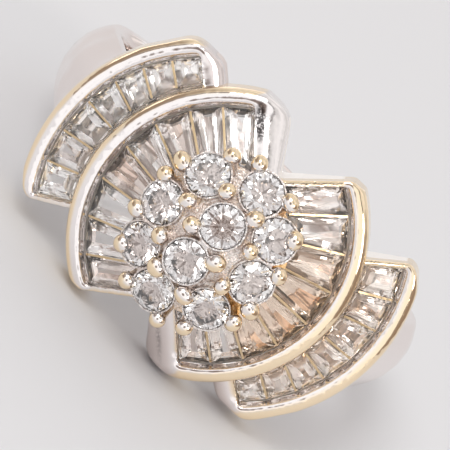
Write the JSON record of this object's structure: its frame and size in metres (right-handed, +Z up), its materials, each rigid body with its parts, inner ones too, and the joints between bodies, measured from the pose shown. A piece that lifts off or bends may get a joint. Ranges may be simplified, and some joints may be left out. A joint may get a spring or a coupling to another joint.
{
  "type": "white gold cluster ring",
  "caption": "Finger ring with a domed cluster of round stones in claws, set in a swirl of four channel-set fans of tapered baguettes on a tapered shank.",
  "frame": {"origin": "centre of the finger hole, on its axis, midway along the head", "axes": "the ring lies on its side: +Z up from the surface it lies on, +X across the head, -Y towards the side that the head faces"},
  "size_m": [0.0204, 0.0244, 0.0119],
  "materials": {
    "white_gold": "polished white gold, warm where the plating has worn",
    "baguette_stone": "clear step-cut stone, faint warm tint",
    "round_stone": "clear brilliant-cut stone"
  },
  "bodies": {
    "root": {"ring_metal": "white_gold", "baguette_left_inner_1": "baguette_stone", "baguette_left_inner_2": "baguette_stone", "baguette_left_inner_3": "baguette_stone", "baguette_left_inner_4": "baguette_stone", "baguette_left_inner_5": "baguette_stone", "baguette_left_inner_6": "baguette_stone", "baguette_left_inner_7": "baguette_stone", "baguette_left_inner_8": "baguette_stone", "baguette_right_inner_1": "baguette_stone", "baguette_right_inner_2": "baguette_stone", "baguette_right_inner_3": "baguette_stone", "baguette_right_inner_4": "baguette_stone", "baguette_right_inner_5": "baguette_stone", "baguette_right_inner_6": "baguette_stone", "baguette_right_inner_7": "baguette_stone", "baguette_right_inner_8": "baguette_stone", "baguette_left_outer_1": "baguette_stone", "baguette_left_outer_2": "baguette_stone", "baguette_left_outer_3": "baguette_stone", "baguette_left_outer_4": "baguette_stone", "baguette_left_outer_5": "baguette_stone", "baguette_left_outer_6": "baguette_stone", "baguette_left_outer_7": "baguette_stone", "baguette_right_outer_1": "baguette_stone", "baguette_right_outer_2": "baguette_stone", "baguette_right_outer_3": "baguette_stone", "baguette_right_outer_4": "baguette_stone", "baguette_right_outer_5": "baguette_stone", "baguette_right_outer_6": "baguette_stone", "baguette_right_outer_7": "baguette_stone", "round_stone_1": "round_stone", "round_stone_2": "round_stone", "round_stone_3": "round_stone", "round_stone_4": "round_stone", "round_stone_5": "round_stone", "round_stone_6": "round_stone", "round_stone_7": "round_stone", "round_stone_8": "round_stone", "round_stone_9": "round_stone", "round_stone_10": "round_stone"}
  },
  "joints": []
}
